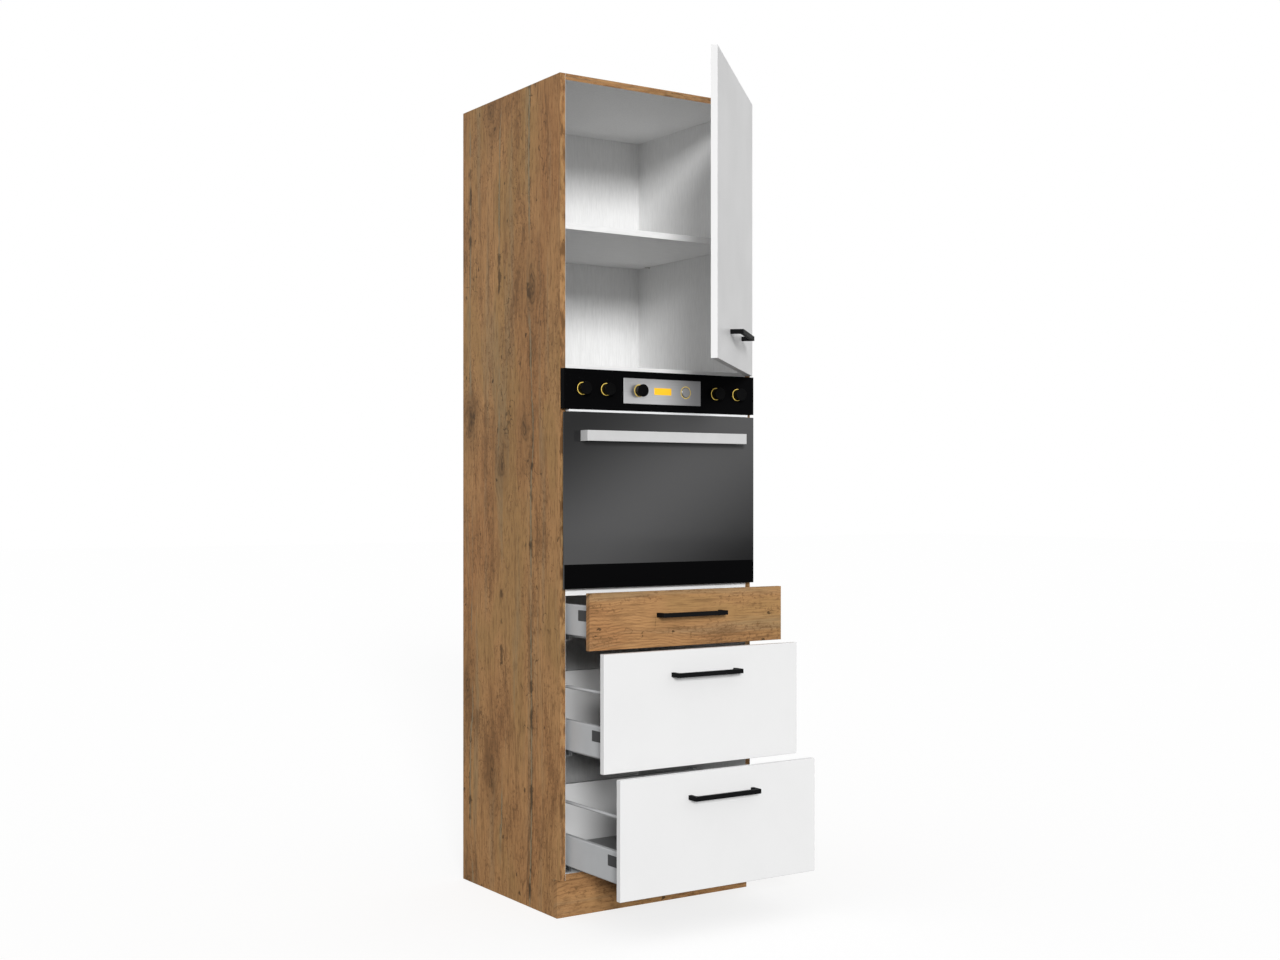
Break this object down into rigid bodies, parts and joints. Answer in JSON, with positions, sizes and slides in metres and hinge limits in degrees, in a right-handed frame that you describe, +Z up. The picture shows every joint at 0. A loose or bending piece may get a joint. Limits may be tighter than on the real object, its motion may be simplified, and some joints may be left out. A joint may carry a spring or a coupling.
{
  "type": "appliance housing cabinet",
  "caption": "Tall oven housing cabinet in wood decor with a hinged white upper door over shelves, a built-in oven and steel-sided drawers below.",
  "frame": {"origin": "on the floor, at the middle of the plinth's front face", "axes": "+Z up, the fronts face -Y, +X to the right when facing the fronts"},
  "size_m": [0.6, 0.9555, 2.162],
  "materials": {
    "oak_decor_board": "satin",
    "white_board": "satin",
    "white_front": "satin",
    "white_back": "satin",
    "grey_board": "matte",
    "black_handle": "satin",
    "drawer_steel": "satin",
    "runner_steel": "satin",
    "nickel_steel": "polished",
    "zinc_fitting": "satin",
    "oven_sheet": "satin",
    "enamel": "gloss",
    "heating_steel": "satin",
    "seal": "matte",
    "black_glass": "gloss",
    "clear_glass": "gloss",
    "brushed_plate": "brushed",
    "display_glass": "gloss",
    "silver_handle": "satin",
    "black_knob": "satin"
  },
  "bodies": {
    "carcass": {"adjustable_shelf": "white_board", "back_panel_lower": "white_back", "back_panel_upper": "white_back", "bottom_panel": "white_board", "cam_locks": "zinc_fitting", "drawer_runners": "runner_steel", "hinge_arms": "nickel_steel", "hinge_plates": "nickel_steel", "oven_casing": "oven_sheet", "oven_cavity": "enamel", "oven_control_panel": "black_glass", "oven_control_plate": "brushed_plate", "oven_display": "display_glass", "oven_door_hinges": "runner_steel", "oven_fan_cover": "enamel", "oven_front_frame": "oven_sheet", "oven_gasket": "seal", "oven_heating_element": "heating_steel", "oven_shelf_lower": "white_board", "oven_shelf_upper": "white_board", "plinth": "oak_decor_board", "shelf_pins": "zinc_fitting", "side_left": "oak_decor_board", "side_right": "oak_decor_board", "top_panel": "white_board", "wall_brackets": "zinc_fitting"},
    "door": {"door_panel": "white_front", "door_handle": "black_handle", "hinge_cups": "nickel_steel"},
    "hinge_link": {"hinge_links": "nickel_steel"},
    "oven_door": {"oven_door_glass": "black_glass", "oven_door_frame": "oven_sheet", "oven_door_inner_glass": "clear_glass", "oven_door_handle": "silver_handle"},
    "button": {"oven_button": "brushed_plate"},
    "drawer_1": {"drawer_1_front": "oak_decor_board", "drawer_1_handle": "black_handle", "drawer_1_sides": "drawer_steel", "drawer_1_bottom": "grey_board", "drawer_1_back": "white_board"},
    "slide_1": {"drawer_1_slides": "runner_steel"},
    "drawer_2": {"drawer_2_front": "white_front", "drawer_2_handle": "black_handle", "drawer_2_sides": "drawer_steel", "drawer_2_bottom": "grey_board", "drawer_2_back": "white_board", "drawer_2_gallery": "drawer_steel"},
    "slide_2": {"drawer_2_slides": "runner_steel"},
    "drawer_3": {"drawer_3_front": "white_front", "drawer_3_handle": "black_handle", "drawer_3_sides": "drawer_steel", "drawer_3_bottom": "grey_board", "drawer_3_back": "white_board", "drawer_3_gallery": "drawer_steel"},
    "slide_3": {"drawer_3_slides": "runner_steel"},
    "knob_1": {"oven_knob_1": "black_knob"},
    "knob_2": {"oven_knob_2": "black_knob"},
    "knob_3": {"oven_knob_3": "black_knob"},
    "knob_4": {"oven_knob_4": "black_knob"},
    "knob_5": {"oven_knob_5": "black_knob"}
  },
  "joints": [
    {"name": "hinge_link_turn", "type": "hinge", "parent": "carcass", "child": "hinge_link", "pos_m": [0.259, -0.012, 1.49], "axis": [0, 0, 1], "range_deg": [-21.71, 21.24]},
    {"name": "door_swing", "type": "hinge", "parent": "hinge_link", "child": "door", "pos_m": [0.27933, -0.02736, 1.49], "axis": [0, 0, 1], "range_deg": [-65.64, 67.11]},
    {"name": "oven_door_drop", "type": "hinge", "parent": "carcass", "child": "oven_door", "pos_m": [0, -0.025, 0.8385], "axis": [1, 0, 0], "range_deg": [0, 90]},
    {"name": "button_press", "type": "slide", "parent": "carcass", "child": "button", "axis": [0, 1, 0], "range_m": [0, 0.002], "stiffness_N_per_m": 400},
    {"name": "knob_1_turn", "type": "hinge", "parent": "carcass", "child": "knob_1", "pos_m": [-0.244, -0.033, 1.337], "axis": [0, 1, 0], "range_deg": [0, 270]},
    {"name": "knob_2_turn", "type": "hinge", "parent": "carcass", "child": "knob_2", "pos_m": [-0.173, -0.033, 1.337], "axis": [0, 1, 0], "range_deg": [0, 270]},
    {"name": "knob_3_turn", "type": "hinge", "parent": "carcass", "child": "knob_3", "pos_m": [-0.073, -0.033, 1.337], "axis": [0, 1, 0], "range_deg": [0, 270]},
    {"name": "knob_4_turn", "type": "hinge", "parent": "carcass", "child": "knob_4", "pos_m": [0.173, -0.033, 1.337], "axis": [0, 1, 0], "range_deg": [0, 270]},
    {"name": "knob_5_turn", "type": "hinge", "parent": "carcass", "child": "knob_5", "pos_m": [0.244, -0.033, 1.337], "axis": [0, 1, 0], "range_deg": [0, 270]},
    {"name": "drawer_1_pull", "type": "slide", "parent": "carcass", "child": "drawer_1", "axis": [0, -1, 0], "range_m": [-0.12, 0.31]},
    {"name": "slide_1_run", "type": "slide", "parent": "carcass", "child": "slide_1", "axis": [0, -1, 0], "range_m": [-0.0601, 0.1551]},
    {"name": "drawer_2_pull", "type": "slide", "parent": "carcass", "child": "drawer_2", "axis": [0, -1, 0], "range_m": [-0.185, 0.245]},
    {"name": "slide_2_run", "type": "slide", "parent": "carcass", "child": "slide_2", "axis": [0, -1, 0], "range_m": [-0.0926, 0.1226]},
    {"name": "drawer_3_pull", "type": "slide", "parent": "carcass", "child": "drawer_3", "axis": [0, -1, 0], "range_m": [-0.258, 0.172]},
    {"name": "slide_3_run", "type": "slide", "parent": "carcass", "child": "slide_3", "axis": [0, -1, 0], "range_m": [-0.1291, 0.0861]}
  ],
  "couplings": [
    {"joint": "hinge_link_turn", "follows": "door_swing", "ratio": -0.32203},
    {"joint": "slide_1_run", "follows": "drawer_1_pull", "ratio": 0.5},
    {"joint": "slide_2_run", "follows": "drawer_2_pull", "ratio": 0.5},
    {"joint": "slide_3_run", "follows": "drawer_3_pull", "ratio": 0.5}
  ]
}
